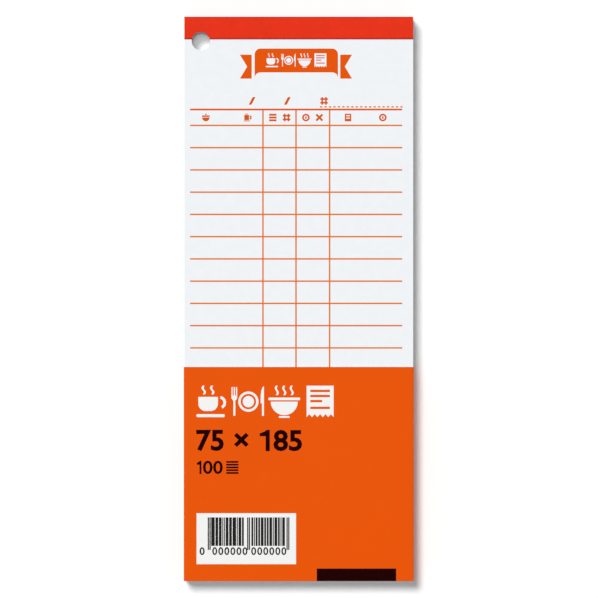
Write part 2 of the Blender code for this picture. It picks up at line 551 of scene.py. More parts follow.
def flagged_one(low: Point, high: Point, stem: float) -> Loop:
    """The outline of the figure one, with its flag.

    Args:
        low: Lower left corner of its box.
        high: Upper right corner.
        stem: Width of its stem.

    Returns:
        The outline.
    """
    tall, inner = high[1] - low[1], high[0] - stem
    chin, brow = low[1] + 0.70 * tall, low[1] + 0.83 * tall
    return [(inner, low[1]), (high[0], low[1]), high, (high[0] - 0.75 * stem, high[1]),
            (inner - 0.15 * stem, high[1] - 0.07 * tall), (low[0], brow), (low[0], chin), (inner, chin)]


class Pictogram(Enum):
    """Plain table signs, then bolder ones for small print: outlines in a unit square."""

    CUP = [[(0.08, 0.64), *arc((0.30, 0.44), 0.22, 180.0, 270.0, 9),
            *arc((0.44, 0.44), 0.22, 270.0, 360.0, 9), (0.66, 0.64)],
           arc((0.70, 0.47), 0.20, -62.0, 78.0) + arc((0.70, 0.47), 0.12, 78.0, -62.0),
           box((0.02, 0.04), (0.86, 0.13), 0.04),
           *(steam(x, 0.71, 0.97, 0.065, 0.035) for x in (0.24, 0.49))]
    PLATE = [*(ring((0.5, 0.5), radius) for radius in (0.30, 0.228, 0.168)),
             [(0.055, 0.08), (0.115, 0.08), (0.115, 0.52), (0.17, 0.60), (0.17, 0.93), (0.135, 0.93),
              (0.135, 0.68), (0.105, 0.68), (0.105, 0.93), (0.065, 0.93), (0.065, 0.68), (0.035, 0.68),
              (0.035, 0.93), (0.0, 0.93), (0.0, 0.60), (0.055, 0.52)],
             [(0.90, 0.08), (0.96, 0.08),
              *((0.96 + 0.10 * x, 0.60 + 0.35 * y) for x, y in arc((0.0, 0.0), 1.0, 90.0, 180.0, 9)),
              (0.86, 0.45), (0.90, 0.45)]]
    BOWL = [arc((0.5, 0.50), 0.40, 180.0, 360.0, 18), box((0.03, 0.54), (0.97, 0.62), 0.035),
            box((0.34, 0.02), (0.66, 0.075), 0.02),
            *(steam(x, 0.69, 0.97, 0.06, 0.03) for x in (0.28, 0.5, 0.72))]
    RECEIPT = [[*((0.10 + 0.08 * step, 0.13 if step % 2 else 0.04) for step in range(11)),
                (0.90, 0.97), (0.10, 0.97)],
               *(box((0.21, foot), (right, foot + 0.07))
                 for foot, right in ((0.78, 0.79), (0.63, 0.79), (0.48, 0.56), (0.28, 0.79)))]
    STACK = [box((0.03, 0.02 + 0.21 * step), (0.97, 0.15 + 0.21 * step), 0.03, 3) for step in range(5)]
    COIN = [ring((0.5, 0.5), 0.5, 24), ring((0.5, 0.5), 0.28, 24), box((0.40, 0.34), (0.60, 0.66))]
    DISH = [arc((0.5, 0.50), 0.49, 180.0, 360.0, 14), box((0.0, 0.58), (1.0, 0.78)),
            box((0.40, 0.84), (0.60, 1.0))]
    MUG = [box((0.06, 0.16), (0.68, 0.84)), box((0.0, 0.0), (0.8, 0.1)), box((0.16, 0.90), (0.58, 1.0)),
           [(0.74, 0.74), (1.0, 0.74), (1.0, 0.26), (0.74, 0.26), (0.74, 0.42), (0.84, 0.42), (0.84, 0.58),
            (0.74, 0.58)]]
    PILE = [box((0.02, foot), (0.98, foot + 0.25)) for foot in (0.01, 0.375, 0.74)]
    SLIP = [box((0.08, 0.0), (0.92, 1.0)), box((0.26, 0.66), (0.74, 0.82)), box((0.26, 0.34), (0.74, 0.50))]
    NUMBER = [four_turns([(0.15, 0.0), (0.37, 0.0), (0.37, 0.15), (0.63, 0.15), (0.63, 0.0), (0.85, 0.0),
                          (0.85, 0.15)]), box((0.37, 0.37), (0.63, 0.63))]
    TIMES = [four_turns([(0.19, 0.0), (0.5, 0.31), (0.81, 0.0)])]
    SLASH = [[(0.06, 0.0), (0.42, 0.0), (0.94, 1.0), (0.58, 1.0)]]

    def placed(self, corner: Point, size: float) -> list[Loop]:
        """The sign's outlines, in this size at this corner."""
        return [[(corner[0] + size * x, corner[1] + size * y) for x, y in loop] for loop in self.value]


def table_signs(corner: Point, pitch: float, size: float) -> list[Loop]:
    """The four table signs in a row.

    Args:
        corner: Lower left corner of the first one.
        pitch: How far each stands from the one before.
        size: Size of each.

    Returns:
        Their outlines.
    """
    signs = (Pictogram.CUP, Pictogram.PLATE, Pictogram.BOWL, Pictogram.RECEIPT)
    return [loop for step, sign in enumerate(signs)
            for loop in sign.placed((corner[0] + pitch * step, corner[1]), size)]


# Meshes and pieces


def in_scene(name: str, data: bpy.types.ID) -> Piece:
    """Puts a new object in the scene.

    Args:
        name: What it is called.
        data: Its mesh, text, camera or lamp.

    Returns:
        The object.
    """
    piece = bpy.data.objects.new(name, data)
    bpy.context.scene.collection.objects.link(piece)
    return piece


def stored(bm: Mesh, name: str) -> bpy.types.Mesh:
    """Stores a mesh that is done.

    Args:
        bm: The mesh, which is used up.
        name: What it is called.

    Returns:
        The stored mesh.
    """
    mesh = bpy.data.meshes.new(name)
    bm.to_mesh(mesh)
    bm.free()
    return mesh


def filled(loops: list[Loop]) -> Mesh:
    """Fills outlines.

    Args:
        loops: The outlines, one inside another being a hole.

    Returns:
        Flat faces at height 0.
    """
    art = bmesh.new()
    edges = []
    for loop in loops:
        corners = [art.verts.new((x, y, 0.0)) for x, y in loop]
        edges += [art.edges.new(pair) for pair in zip(corners, corners[1:] + corners[:1])]
    bmesh.ops.triangle_fill(art, use_beauty=True, edges=edges, normal=(0.0, 0.0, 1.0))
    return art


def span_of(bm: Mesh, axis: int) -> Span:
    """The lowest and the highest place of a mesh along an axis."""
    places = [vert.co[axis] for vert in bm.verts]
    return min(places), max(places)


def lettered(text: str, low: Point, high: Point, weight: float) -> Mesh:
    """Numerals that fill a box.

    Args:
        text: What they say.
        low: Lower left corner of the box.
        high: Upper right corner.
        weight: How much bolder than plain, in thousandths of their size.

    Returns:
        Their flat faces.
    """
    words = bpy.data.curves.new("numerals", "FONT")
    words.body, words.fill_mode, words.resolution_u = text, "FRONT", LETTER_STEPS
    words.size, words.offset = LETTER_SIZE, weight / 1000 * LETTER_SIZE
    holder = in_scene("numerals", words)
    bpy.context.view_layer.update()
    art = bmesh.new()
    art.from_mesh(holder.to_mesh())
    holder.to_mesh_clear()
    bpy.data.objects.remove(holder)
    bpy.data.curves.remove(words)
    bmesh.ops.remove_doubles(art, verts=art.verts, dist=LETTER_TOUCH)
    (left, right), (foot, top) = span_of(art, 0), span_of(art, 1)
    grow = Vector(((high[0] - low[0]) / (right - left), (high[1] - low[1]) / (top - foot), 1.0))
    bmesh.ops.translate(art, vec=(-left, -foot, 0.0), verts=art.verts)
    bmesh.ops.scale(art, vec=grow, verts=art.verts)
    bmesh.ops.translate(art, vec=(*low, 0.0), verts=art.verts)
    return art


def gathered(parts: list[Mesh]) -> Mesh:
    """Gathers meshes.

    Args:
        parts: The meshes, which are used up.

    Returns:
        All of them as one.
    """
    whole = bmesh.new()
    for part in parts:
        scrap = stored(part, "part")
        whole.from_mesh(scrap)
        bpy.data.meshes.remove(scrap)
    return whole


def cut_across(bm: Mesh, axis: int, places: list[float]) -> None:
    """Cuts every face along straight lines.

    Args:
        bm: The mesh to cut.
        axis: The axis that the lines stand across.
        places: Where on that axis each line is.
    """
    normal = Vector((0.0, 0.0, 0.0))
    normal[axis] = 1.0
    for place in places:
        geometry = [*bm.verts, *bm.edges, *bm.faces]
        bmesh.ops.bisect_plane(bm, geom=geometry, dist=TOUCH, plane_co=normal * place, plane_no=normal)


def steps_between(start: float, end: float, count: int) -> list[float]:
    """Evenly spaced places between two ends, without the ends."""
    return [start + (end - start) * step / count for step in range(1, count)]


def moved(bm: Mesh, made: list[object], run: Vector) -> None:
    """Moves what an operator has just made."""
    bmesh.ops.translate(bm, vec=run, verts=[item for item in made if isinstance(item, bmesh.types.BMVert)])


def thicken(bm: Mesh, thickness: float) -> None:
    """Makes flat faces into closed plates by raising a copy of them."""
    raised = bmesh.ops.extrude_face_region(bm, geom=list(bm.faces))["geom"]
    moved(bm, raised, Vector((0.0, 0.0, thickness)))


def swept(path: list[Vector], run: Vector) -> Mesh:
    """Sweeps a path into an open strip.

    Args:
        path: The path.
        run: How far and where it is swept.

    Returns:
        The strip.
    """
    strip = bmesh.new()
    points = [strip.verts.new(point) for point in path]
    edges = [strip.edges.new(pair) for pair in zip(points, points[1:])]
    moved(strip, bmesh.ops.extrude_edge_only(strip, edges=edges)["geom"], run)
    return strip


def rounded(corners: list[Point], radii: list[float], steps: int) -> list[Point]:
    """A path with its inner corners rounded.

    Args:
        corners: The corners of the path.
        radii: A radius for each inner corner.
        steps: Steps in each round corner.

    Returns:
        The points of the path.
    """
    path = [corners[0]]
    for before, corner, after, radius in zip(corners, corners[1:], corners[2:], radii):
        here = Vector(corner)
        back, ahead = (Vector(before) - here).normalized(), (Vector(after) - here).normalized()
        half = back.angle(ahead) / 2
        reach = radius / math.tan(half)
        centre = here + (back + ahead).normalized() * radius / math.sin(half)
        start, end = here + back * reach - centre, here + ahead * reach - centre
        sweep = start.angle_signed(end)
        for step in range(steps + 1):
            spoke = start.copy()
            spoke.rotate(Matrix.Rotation(-sweep * step / steps, 2))
            path.append(tuple(centre + spoke))
    path.append(corners[-1])
    return path


def smooth(bm: Mesh) -> None:
    """Shades a mesh smooth, and keeps its real edges sharp.

    Args:
        bm: The mesh.
    """
    for edge in bm.edges:
        edge.smooth = edge.calc_face_angle(math.pi) < HARD_ANGLE
    for face in bm.faces:
        face.smooth = True


def add_piece(bm: Mesh, name: str, materials: list[Material]) -> Piece:
    """Makes a finished mesh into an object of the scene.

    Args:
        bm: The mesh, in metres and in its place. It is used up.
        name: What the piece is called.
        materials: Its materials, in the order of its faces' numbers.

    Returns:
        The object.
    """
    bmesh.ops.recalc_face_normals(bm, faces=bm.faces)
    smooth(bm)
    mesh = stored(bm, name)
    for material in materials:
        mesh.materials.append(material)
    piece = in_scene(name, mesh)
    LOG.info("%s: %d faces", name, len(mesh.polygons))
    return piece


def add_wall(piece: Piece, thickness: float) -> bpy.types.Modifier:
    """Gives a strip its thickness.

    Args:
        piece: The strip.
        thickness: How thick it becomes, half to each side.

    Returns:
        The modifier that does it.
    """
    wall = piece.modifiers.new("Thickness", "SOLIDIFY")
    wall.thickness, wall.offset, wall.use_even_offset = thickness, 0.0, True
    return wall


def settle(piece: Piece) -> None:
    """Applies a piece's modifiers to its mesh, and shades it.

    Args:
        piece: The piece.
    """
    graph = bpy.context.evaluated_depsgraph_get()
    before = piece.data
    settled = bpy.data.meshes.new_from_object(piece.evaluated_get(graph))
    piece.modifiers.clear()
    piece.data = settled
    bpy.data.meshes.remove(before)
    shape = bmesh.new()
    shape.from_mesh(settled)
    bmesh.ops.remove_doubles(shape, verts=shape.verts, dist=TOUCH)
    smooth(shape)
    shape.to_mesh(settled)
    shape.free()


def dress(node: str, material: Material) -> None:
    """Gives a CAD node that stays in view its material.

    Args:
        node: The node.
        material: Its material.
    """
    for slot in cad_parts[node].material_slots:
        slot.link = "OBJECT"
        slot.material = material
    LOG.info("%s: dressed", node)


# The pad


@dataclass(frozen=True)
class PadPlaces:
    """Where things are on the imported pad, in metres, read from its CAD nodes."""

    left: float
    foot: float
    head: float
    crease: float
    sheet_head: float
    tape_front: float
    band_head: float
    band_front: float
    hole: Point = (-32.1 * MM, 84.5 * MM)
    hole_radius: float = 3.0 * MM

    @classmethod
    def read(cls) -> "PadPlaces":
        """Reads the places from the boxes of the nodes.

        Returns:
            The places.
        """
        tape_low, tape_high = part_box("binding_tape")
        board_low, board_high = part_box("backing_board")
        _, band_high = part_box("belly_band")
        return cls(left=board_low.x, foot=board_low.y, head=tape_high.y, crease=tape_low.y,
                   sheet_head=board_high.y, tape_front=tape_high.z, band_head=band_high.y,
                   band_front=band_high.z)

    def spot(self, across: float, down: float) -> Point:
        """A place in millimetres, given as measured from the pad's upper left corner."""
        return self.left / MM + across, self.head / MM - down


class Finishes:
    """Every finish of the pad, made once and shared by its pieces."""

    def __init__(self, places: PadPlaces) -> None:
        """Makes every finish.

        Args:
            places: Where the tape's edges and the band's folds are.
        """
        orange, dark_shades = (0.785, 0.092, 0.0020), (0.85, 1.15)
        fold = 0.10 * MM - places.left
        self.paper = WritingPaper("writing_paper").make()
        self.edges = CutEdges("cut_edges").make()
        self.form_ink = PrintInk("form_ink", orange, gloss=0.02).make()
        self.rule_ink = PrintInk("rule_ink", (0.785, 0.165, 0.0010), gloss=0.02).make()
        self.mark_ink = PrintInk("mark_ink", (0.680, 0.095, 0.0010), gloss=0.02).make()
        self.inner_ink = InnerInk("inner_form_ink", orange).make()
        self.tape = BindingPaper("binding_paper", crease=places.crease, head=places.head).make()
        self.band = CoatedPaper("band_orange", fold=fold, middle=places.band_front / 2).make()
        self.band_inside = WritingPaper("band_inside", (0.80, 0.80, 0.77)).make()
        self.band_white = PrintInk("band_white", (0.90, 0.90, 0.885), (0.98, 1.02)).make()
        self.band_dark = PrintInk("band_dark", (0.0132, 0.0003, 0.0004), dark_shades, (0.34, 0.50),
                                  0.01).make()
        self.bar_black = PrintInk("bar_black", (0.014, 0.013, 0.013), dark_shades, gloss=0.03).make()
        self.board = GreyBoard("grey_board").make()
        self.glue = DriedGlue("dried_glue").make()


@dataclass
class PrintedForm:
    """The printed form, the same on every sheet. Its places are millimetres from the sheet's corner."""

    places: PadPlaces
    left: float = 1.87
    right: float = 71.4
    head_rule: float = 30.43
    head_rule_width: float = 0.58
    first_rule: float = 35.64
    pitch: float = 7.292
    rule_count: int = 20
    rule_width: float = 0.48
    column_rules: tuple[float, ...] = (25.77, 36.6, 47.62)
    dot_row: float = 29.55
    dot_start: float = 44.45
    dot_pitch: float = 1.463
    dot_count: int = 19
    dot_size: Point = (0.76, 0.46)
    ribbon_low: Point = (23.05, 18.25)
    ribbon_high: Point = (50.35, 10.45)
    ribbon_flare: float = 20.1
    ribbon_bend: float = 1.9
    bend_steps: int = 8
    tail_rows: Span = (12.45, 20.3)
    tails: tuple[Triple, ...] = ((22.07, 20.6, 18.2), (51.1, 52.6, 54.95))
    sign_corner: Point = (26.55, 16.75)
    sign_pitch: float = 5.2
    sign_size: float = 4.9
    date_row: float = 28.85
    heading_row: float = 34.3
    mark_size: float = 2.5
    film: float = 0.004 * MM
    lift: float = 0.001 * MM

    def _box(self, across: float, down: float, wide: float, high: float) -> Loop:
        """A box whose upper left corner is this far from the sheet's."""
        low = self.places.spot(across, down + high)
        return box(low, (low[0] + wide, low[1] + high))

    def _rules(self) -> Mesh:
        """Rules the form: one plate, cut along every rule, with the open cells taken out.

        Returns:
            The rules.
        """
        half, head_half = self.rule_width / 2, self.head_rule_width / 2
        rows = [(self.head_rule, head_half)]
        rows += [(self.first_rule + self.pitch * row, half) for row in range(self.rule_count)]
        rows = [(self.places.spot(0.0, down)[1], reach) for down, reach in rows]
        columns = [self.places.spot(across, 0.0)[0] for across in self.column_rules]
        top, last = self.head_rule - head_half, self.first_rule + self.pitch * (self.rule_count - 1) + half
        lattice = filled([self._box(self.left, top, self.right - self.left, last - top)])
        cut_across(lattice, 1, [y + side for y, reach in rows for side in (reach, -reach)][1:-1])
        cut_across(lattice, 0, [x + side for x in columns for side in (-half, half)])
        bmesh.ops.dissolve_limit(lattice, angle_limit=FLAT_ANGLE, verts=[], edges=[])
        open_cells = []
        for face in lattice.faces:
            spot = face.calc_center_bounds()
            in_row = any(abs(y - spot.y) < reach for y, reach in rows)
            if not in_row and not any(abs(x - spot.x) < half for x in columns):
                open_cells.append(face)
            face.material_index = int(spot.y < rows[0][0] - head_half)
        bmesh.ops.delete(lattice, geom=open_cells, context="FACES")
        return lattice

    def _dots(self) -> Mesh:
        """Makes the dotted line under the number place.

        Returns:
            The dots.
        """
        wide, high = self.dot_size
        starts = [self.dot_start + self.dot_pitch * step for step in range(self.dot_count)]
        dots = filled([self._box(start, self.dot_row - high / 2, wide, high) for start in starts])
        for face in dots.faces:
            face.material_index = 1
        return dots

    def _ribbon(self) -> Mesh:
        """Makes the ribbon over the form, with four table signs left open in it.

        Returns:
            The ribbon.
        """
        (left, foot), (right, top) = self.places.spot(*self.ribbon_low), self.places.spot(*self.ribbon_high)
        flare, bend, steps = self.places.spot(0.0, self.ribbon_flare)[1], self.ribbon_bend, self.bend_steps
        body = [(left + bend * (1.0 - inward), flare + (foot - flare) * up)
                for inward, up in arc((0.0, 0.0), 1.0, 0.0, 90.0, steps)]
        body += [(left + right - x, y) for x, y in reversed(body)]
        body += arc((right - bend, top - bend), bend, 0.0, 90.0, steps)
        body += arc((left + bend, top - bend), bend, 90.0, 180.0, steps)
        tail_top, tail_foot = self.tail_rows
        tails = [[self.places.spot(*corner) for corner in (
            (inner, tail_top), (outer, tail_top), (notch, (tail_top + tail_foot) / 2), (outer, tail_foot),
            (inner, tail_foot))] for inner, notch, outer in self.tails]
        signs = table_signs(self.places.spot(*self.sign_corner), self.sign_pitch, self.sign_size)
        return filled([body, *tails, *signs])

    def _marks(self) -> list[Mesh]:
        """Makes the small marks in the date, number and heading places.

        Returns:
            The marks.
        """
        rows = {self.date_row: ((20.95, Pictogram.SLASH), (32.5, Pictogram.SLASH), (44.55, Pictogram.NUMBER)),
                self.heading_row: ((5.8, Pictogram.DISH), (19.5, Pictogram.MUG), (27.75, Pictogram.PILE),
                                   (32.25, Pictogram.NUMBER), (38.6, Pictogram.COIN), (43.0, Pictogram.TIMES),
                                   (52.4, Pictogram.SLIP), (63.8, Pictogram.COIN))}
        marks = [filled(sign.placed(self.places.spot(across, row), self.mark_size))
                 for row, signs in rows.items() for across, sign in signs]
        for mark in marks:
            for face in mark.faces:
                face.material_index = 2
        return marks

    def make(self) -> bpy.types.Mesh:
        """Makes the form's ink as thin closed plates, on a sheet whose face is at height 0.

        Returns:
            The form, its materials being form ink, rule ink and mark ink.
        """
        art = gathered([self._rules(), self._dots(), self._ribbon(), *self._marks()])
        bmesh.ops.scale(art, vec=(MM, MM, MM), verts=art.verts)
        bmesh.ops.translate(art, vec=(0.0, 0.0, self.lift), verts=art.verts)
        thicken(art, self.film)
        bmesh.ops.recalc_face_normals(art, faces=art.faces)
        return stored(art, "form")


@dataclass
class Sheet:
    """A sheet of the pad. Its number counts from the top; its jog is how far its edges stand back."""

    places: PadPlaces
    finishes: Finishes
    number: int
    jog: float
    turns: bool
    hole_steps: int = 72
    fold_run: float = 2.9 * MM
    fold_cuts: int = 18
    leaf_cuts: int = 8
    long_cuts: Triple = (-20.0, 0.0, 20.0)
    leaf_gap: float = 0.03 * MM
    stub_gap: float = 0.01 * MM
    tear_depth: float = 0.22 * MM
    tear_step: float = 0.2 * MM
    tear_waves: tuple[Triple, ...] = ((1.0, 0.9, 0.0), (0.7, 2.3, 1.0), (0.4, 4.7, 2.0))
    tear_sway: float = 0.22

    def __post_init__(self) -> None:
        """Finds the sheet's node, its body, and the heights of its two faces."""
        self.node = f"check_sheet_{self.number:02d}"
        self.body = f"sheet_{self.number:02d}" if self.turns else "pad"
        self.low, self.high = (corner.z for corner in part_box(self.node))

    def _blank(self, folds: bool) -> Mesh:
        """Makes the sheet flat, with its punched hole.

        Args:
            folds: Whether it is cut along the lines that it folds on.

        Returns:
            Its faces.
        """
        p = self.places
        low, high = ((p.left + self.jog) / MM, (p.foot + self.jog) / MM), (-p.left / MM, p.sheet_head / MM)
        crease, end = p.crease / MM, (p.crease - self.fold_run) / MM
        hole = ring((p.hole[0] / MM, p.hole[1] / MM), p.hole_radius / MM, self.hole_steps)
        sheet = filled([box(low, high), hole])
        if folds:
            cut_across(sheet, 1, [*steps_between(end, crease, self.fold_cuts), crease])
        cut_across(sheet, 1, [end, *steps_between(low[1], end, self.leaf_cuts)])
        cut_across(sheet, 0, list(self.long_cuts))
        bmesh.ops.scale(sheet, vec=(MM, MM, MM), verts=sheet.verts)
        return sheet

    def _fray(self, sheet: Mesh, place: float) -> None:
        """Makes a straight cut into a torn one, which wanders towards the head.

        Args:
            sheet: The flat sheet.
            place: Where the cut is, along Y.
        """
        def on_cut(vert: bmesh.types.BMVert) -> bool:
            """Whether a vertex lies on the cut."""
            return abs(vert.co.y - place) < TOUCH

        for edge in [edge for edge in sheet.edges if all(map(on_cut, edge.verts))]:
            cuts = math.ceil(edge.calc_length() / self.tear_step)
            bmesh.ops.subdivide_edges(sheet, edges=[edge], cuts=cuts)
        hole = Vector((*self.places.hole, 0.0))
        for vert in filter(on_cut, sheet.verts[:]):
            x = vert.co.x / MM
            wander = sum(size * math.sin(pace * x + start) for size, pace, start in self.tear_waves)
            off_hole = ((vert.co - hole).length - self.places.hole_radius) / MM
            taper = min(1.0, max(0.0, off_hole))
            vert.co.y += self.tear_depth * (0.5 + self.tear_sway * wander) * taper

    def _finish(self, sheet: Mesh, name: str) -> Piece:
        """Gives the flat sheet its height, its thickness and its two finishes, faces and cut edges.

        Args:
            sheet: The flat sheet.
            name: What the piece is called.

        Returns:
            The piece.
        """
        bmesh.ops.translate(sheet, vec=(0.0, 0.0, self.low), verts=sheet.verts)
        thicken(sheet, self.high - self.low)
        bmesh.ops.recalc_face_normals(sheet, faces=sheet.faces)
        for face in sheet.faces:
            face.material_index = int(abs(face.normal.z) < 0.5)
        return add_piece(sheet, name, [self.finishes.paper, self.finishes.edges])

    def _tear_off(self) -> None:
        """Builds the sheet torn in two at the crease: a leaf that comes off, and its stub."""
        parts = ((True, "printed_sheet_01", self.leaf_gap, self.node, self.body),
                 (False, "sheet_01_stub", self.stub_gap, "bound_heads", "pad"))
        for is_leaf, name, gap, node, body in parts:
            sheet, place = self._blank(folds=False), self.places.crease - gap
            bmesh.ops.bisect_plane(sheet, geom=[*sheet.verts, *sheet.edges, *sheet.faces], dist=TOUCH,
                                   plane_co=(0.0, place, 0.0), plane_no=(0.0, 1.0, 0.0),
                                   clear_outer=is_leaf, clear_inner=not is_leaf)
            self._fray(sheet, place)
            piece = self._finish(sheet, name)
            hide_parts(node)
            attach(piece, body)

    def build(self) -> None:
        """Builds the sheet. A turning one is cut across, just below the crease, where it would fold; its head
        stays under the tape.
        """
        if self.number == 1:
            self._tear_off()
            return
        piece = self._finish(self._blank(folds=True), f"printed_sheet_{self.number:02d}")
        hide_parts(self.node)
        if self.turns:
            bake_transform(piece)
        else:
            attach(piece, "pad")

    def take_print(self, form: bpy.types.Mesh, inks: list[Material]) -> None:
        """Lays the form on the sheet, and lets it ride with the sheet's body.

        Args:
            form: The form.
            inks: Its three inks.
        """
        mesh = form.copy()
        mesh.transform(Matrix.Translation((0.0, 0.0, self.high)))
        for ink in inks:
            mesh.materials.append(ink)
        piece = in_scene(f"form_print_{self.number:02d}", mesh)
        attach(piece, self.body)
        LOG.info("%s: printed", piece.name)


@dataclass
class SheetStack:
    """The hundred sheets: loose top leaf, turning sheets, still sheets and the block under them."""

    places: PadPlaces
    finishes: Finishes
    turning: int = 20
    single: int = 33
    seed: int = 21
    worst_jog: float = 0.05 * MM

    def build(self) -> None:
        """Builds and prints the sheets down to the first still one, and dresses the others."""
        draw = random.Random(self.seed)
        form = PrintedForm(self.places).make()
        own, still = self.finishes, self.turning + 1
        shown_inks = [own.form_ink, own.rule_ink, own.mark_ink]
        for number in range(1, still + 1):
            sheet = Sheet(self.places, own, number, draw.uniform(0.0, self.worst_jog), number < still)
            sheet.build()
            shown = number in (1, 2, still)
            sheet.take_print(form, shown_inks if shown else [own.inner_ink] * 3)
        bpy.data.meshes.remove(form)
        for number in range(still + 1, self.turning + self.single + 1):
            dress(f"check_sheet_{number:02d}", own.edges)
        dress("lower_sheets", own.edges)


@dataclass
class HeadBinding:
    """What holds the pad together at its head: board, glue and the folded tape."""

    places: PadPlaces
    finishes: Finishes
    thickness: float = 0.28 * MM
    inner_radius: float = 0.1 * MM
    back_step: float = 0.02 * MM
    fold_steps: int = 9
    punch_steps: int = 96
    punch_depth: float = 30.0 * MM

    def _path(self) -> list[Vector]:
        """Finds the middle of the tape, from its back edge round the head to its front edge.

        Returns:
            The path, at the pad's left side.
        """
        p, middle = self.places, self.thickness / 2
        low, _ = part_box("binding_tape")
        corners = [(p.crease + self.back_step, low.z + middle), (p.head - middle, low.z + middle),
                   (p.head - middle, p.tape_front - middle), (p.crease, p.tape_front - middle)]
        path = rounded(corners, [self.inner_radius + middle] * 2, self.fold_steps)
        return [Vector((p.left, y, z)) for y, z in path]

    def _tape(self) -> None:
        """The tape: a strip swept across the pad, punched with the hole."""
        p = self.places
        strip = swept(self._path(), Vector((-2 * p.left, 0.0, 0.0)))
        piece = add_piece(strip, "folded_tape", [self.finishes.tape])
        add_wall(piece, self.thickness)
        punch = bmesh.new()
        bmesh.ops.create_cone(punch, cap_ends=True, segments=self.punch_steps, radius1=p.hole_radius,
                              radius2=p.hole_radius, depth=self.punch_depth,
                              matrix=Matrix.Translation((*p.hole, p.tape_front / 2)))
        cutter = add_piece(punch, "tape_punch", [])
        hole = piece.modifiers.new("Hole", "BOOLEAN")
        hole.object, hole.operation, hole.solver = cutter, "DIFFERENCE", "EXACT"
        settle(piece)
        bpy.data.objects.remove(cutter)
        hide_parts("binding_tape")
        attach(piece, "pad")

    def build(self) -> None:
        """Builds the tape and dresses the board and the glue."""
        self._tape()
        dress("backing_board", self.finishes.board)
        dress("head_glue", self.finishes.glue)


@dataclass
class BellyBand:
    """The paper band round the foot, with its overlapped seam at the back."""

    places: PadPlaces
    finishes: Finishes
    thickness: float = 0.12 * MM
    side_gap: float = 0.05 * MM
    front_ease: float = 0.05 * MM
    seam_gap: float = 0.01 * MM
    front_radius: float = 0.20 * MM
    back_radius: float = 0.10 * MM
    fold_steps: int = 7
    overlap: float = 12.0 * MM
    step_length: float = 3.0 * MM
    step_clearance: float = 1.0 * MM
    step_softness: float = 4.0
    bow: float = 0.10 * MM
    bow_range: Span = (0.75, 0.35)
    bow_growth: float = 1.05
    side_belly: float = 0.02 * MM
    ripple: float = 0.018 * MM
    ripple_across: Span = (95.0, 0.6)
    ripple_along: Span = (120.0, 1.1)
    cell: float = 2.0 * MM
    side_margin: float = 0.5 * MM
    side_cuts: int = 8

    def rise(self, x: float, y: float) -> float:
        """Finds how far the front of the band stands off the sheets, besides its ease.

        Args:
            x: The place across the pad, in metres.
            y: The place along it.

        Returns:
            The height, in metres.
        """
        across = max(0.0, 1.0 - (x / self.places.left) ** 2)
        up = (y - self.places.foot) / (self.places.band_head - self.places.foot)
        least, gain = self.bow_range
        (pace_x, start_x), (pace_y, start_y) = self.ripple_across, self.ripple_along
        wave = math.sin(x * pace_x + start_x) * math.cos(y * pace_y + start_y)
        return across * (self.bow * (least + gain * up * up) + self.ripple * wave)

    def _path(self) -> list[Vector]:
        """Finds the middle of the band, round the pad from its inner end to its outer end.

        Returns:
            The path, at the pad's foot.
        """
        p, middle = self.places, self.thickness / 2
        _, seam_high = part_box("band_seam_glue")
        low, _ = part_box("belly_band")
        side = -p.left + self.side_gap + middle
        inner, outer = seam_high.z + self.seam_gap + middle, low.z + middle
        front = p.band_front - middle + self.front_ease
        step_end = self.overlap / 2 + self.step_clearance
        corners = [(self.overlap / 2, inner), (-side, inner), (-side, front), (side, front), (side, inner),
                   (step_end + self.step_length, inner), (step_end, outer), (-self.overlap / 2, outer)]
        tight, soft = self.back_radius + middle, self.front_radius + middle
        slope = self.step_softness * tight
        path = rounded(corners, [tight, soft, soft, tight, slope, slope], self.fold_steps)
        return [Vector((x, p.foot, z)) for x, z in path]

    def _bend(self, strip: Mesh) -> None:
        """Bows the front and swells the sides a little.

        Args:
            strip: The strip.
        """
        front = self.places.band_front
        for vert in strip.verts:
            x, y, z = vert.co
            if z > front / 2:
                vert.co.z += self.rise(x, y) * min(1.0, (2 * z / front - 1.0) * self.bow_growth)
            if abs(x) > abs(self.places.left):
                belly = math.sin(math.pi * min(1.0, max(0.0, z / front)))
                vert.co.x += math.copysign(self.side_belly * belly, x)

    def build(self) -> None:
        """Builds the band, white inside and on its cut edges, and dresses the glue in its seam."""
        p = self.places
        tall = p.band_head - p.foot
        strip = swept(self._path(), Vector((0.0, tall, 0.0)))
        cut_across(strip, 0, steps_between(p.left, -p.left, round(-2 * p.left / self.cell)))
        cut_across(strip, 1, steps_between(p.foot, p.band_head, round(tall / self.cell)))
        sides = steps_between(self.side_margin, p.band_front - self.side_margin, self.side_cuts)
        cut_across(strip, 2, sides)
        self._bend(strip)
        piece = add_piece(strip, "printed_band", [self.finishes.band, self.finishes.band_inside])
        wall = add_wall(piece, self.thickness)
        wall.material_offset, wall.material_offset_rim = 1, 1
        settle(piece)
        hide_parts("belly_band")
        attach(piece, "band")
        dress("band_seam_glue", self.finishes.glue)


@dataclass(frozen=True)
class FigureLine:
    """A line of figures. Its places are millimetres from the pad's upper left corner."""

    foot: float
    top: float
    stem: float
    weight: float
    figures: tuple[tuple[str, float, float], ...]

    def art(self, places: PadPlaces) -> list[Mesh]:
        """Makes the figures. A 1 is drawn with the flag that the font's lacks.

        Args:
            places: Where things are on the pad.

        Returns:
            A mesh for each group of figures.
        """
        art = []
        for text, left, right in self.figures:
            low, high = places.spot(left, self.foot), places.spot(right, self.top)
            if text == "1":
                art.append(filled([flagged_one(low, high, self.stem)]))
            else:
                art.append(lettered(text, low, high, self.weight))
        return art


